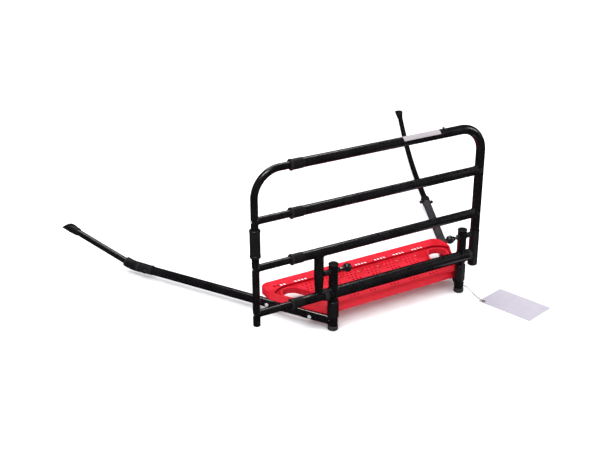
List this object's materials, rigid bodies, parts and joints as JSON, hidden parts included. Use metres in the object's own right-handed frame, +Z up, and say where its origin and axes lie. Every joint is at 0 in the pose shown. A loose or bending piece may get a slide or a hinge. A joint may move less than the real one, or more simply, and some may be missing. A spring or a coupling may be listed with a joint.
{
  "type": "bed assist rail",
  "caption": "Folding, telescoping bed safety rail with splayed under-mattress arms, sprung lock pins and a moulded anchor board.",
  "frame": {"origin": "on the floor under the middle of the box of the assembly, without the hang tag", "axes": "+X along the rail from the telescoping end to the fixed end, +Y back under the bed, +Z up"},
  "size_m": [1.569, 1.4683, 0.5015],
  "materials": {
    "black_tube": "gloss black powder coat",
    "fitting": "satin black powder coat",
    "black_plastic": "fine-grained black moulding",
    "knob_plastic": "polished black phenolic ball",
    "foot_rubber": "matt black",
    "red_board": "gloss red moulding",
    "screw_metal": "zinc plated",
    "pin_steel": "turned steel",
    "label_film": "blank label, satin",
    "label_card": "blank card, both sides coated",
    "eyelet_metal": "pressed eyelet",
    "tag_cord": "thin twisted string"
  },
  "bodies": {
    "base": {"arm_clamp_screws": "black_plastic", "board": "red_board", "board_screws": "screw_metal", "hinge_tube": "black_tube", "left_arm_sleeve": "black_plastic", "left_arm_tube": "black_tube", "left_foot": "foot_rubber", "left_hinge_bush": "black_plastic", "left_leg_cap": "black_plastic", "left_leg_lower": "black_tube", "left_leg_socket": "fitting", "left_leg_upper": "black_tube", "left_pin_housing": "fitting", "left_pin_spring": "pin_steel", "left_rod_guide": "black_plastic", "right_arm_sleeve": "black_plastic", "right_arm_tube": "black_tube", "right_foot": "foot_rubber", "right_hinge_bush": "black_plastic", "right_leg_cap": "black_plastic", "right_leg_lower": "black_tube", "right_leg_socket": "fitting", "right_leg_upper": "black_tube", "right_pin_housing": "fitting", "right_pin_spring": "pin_steel", "right_rod_guide": "black_plastic", "tag_card": "label_card", "tag_eyelet": "eyelet_metal", "tag_string": "tag_cord"},
    "extension": {"inner_top_tube": "black_tube", "lower_left_post": "black_tube", "inner_bar_upper": "black_tube", "inner_bar_middle": "black_tube", "inner_bar_lower": "black_tube", "post_coupling": "fitting", "left_post_plug": "black_plastic", "bar_rivets": "screw_metal"},
    "rail": {"top_tube_and_right_post": "black_tube", "outer_bar_upper": "black_tube", "outer_bar_middle": "black_tube", "outer_bar_lower": "black_tube", "strut": "black_tube", "mouth_collar_top": "black_plastic", "mouth_collar_upper": "black_plastic", "mouth_collar_middle": "black_plastic", "mouth_collar_lower": "black_plastic", "right_post_sleeve": "fitting", "right_post_plug": "black_plastic", "blank_label": "label_film", "hinge_spacers": "black_plastic"},
    "lock_button": {"lock_button": "pin_steel"},
    "left_pin": {"left_lock_pin": "pin_steel", "left_pin_knob": "knob_plastic"},
    "right_pin": {"right_lock_pin": "pin_steel", "right_pin_knob": "knob_plastic"},
    "left_rod": {"left_arm_rod": "black_tube", "left_rod_collar": "black_plastic", "left_rod_tip": "black_plastic"},
    "right_rod": {"right_arm_rod": "black_tube", "right_rod_tip": "black_plastic"}
  },
  "joints": [
    {"name": "rail_fold", "type": "hinge", "parent": "base", "child": "rail", "pos_m": [-0.11276, -0.6075, 0.1078], "axis": [1, 0, 0], "range_deg": [0, 165], "deforming": ["tag_string", "tag_card", "tag_eyelet"]},
    {"name": "rail_extend", "type": "slide", "parent": "rail", "child": "extension", "axis": [-1, 0, 0], "range_m": [0, 0.335]},
    {"name": "lock_button_press", "type": "slide", "parent": "rail", "child": "lock_button", "axis": [0, 0, -1], "range_m": [0, 0.0022], "stiffness_N_per_m": 600, "springref_m": -0.001},
    {"name": "left_pin_pull", "type": "slide", "parent": "base", "child": "left_pin", "axis": [1, 0, 0], "range_m": [-0.01, 0.004], "stiffness_N_per_m": 800, "springref_m": -0.01, "deforming": ["left_pin_spring"]},
    {"name": "right_pin_pull", "type": "slide", "parent": "base", "child": "right_pin", "axis": [-1, 0, 0], "range_m": [-0.01, 0.004], "stiffness_N_per_m": 800, "springref_m": -0.01, "deforming": ["right_pin_spring"]},
    {"name": "left_arm_slide", "type": "slide", "parent": "base", "child": "left_rod", "axis": [-0.4818, 0.8763, 0], "range_m": [0, 0.25]},
    {"name": "right_arm_slide", "type": "slide", "parent": "base", "child": "right_rod", "axis": [0.4818, 0.8763, 0], "range_m": [-0.13, 0.15]}
  ]
}
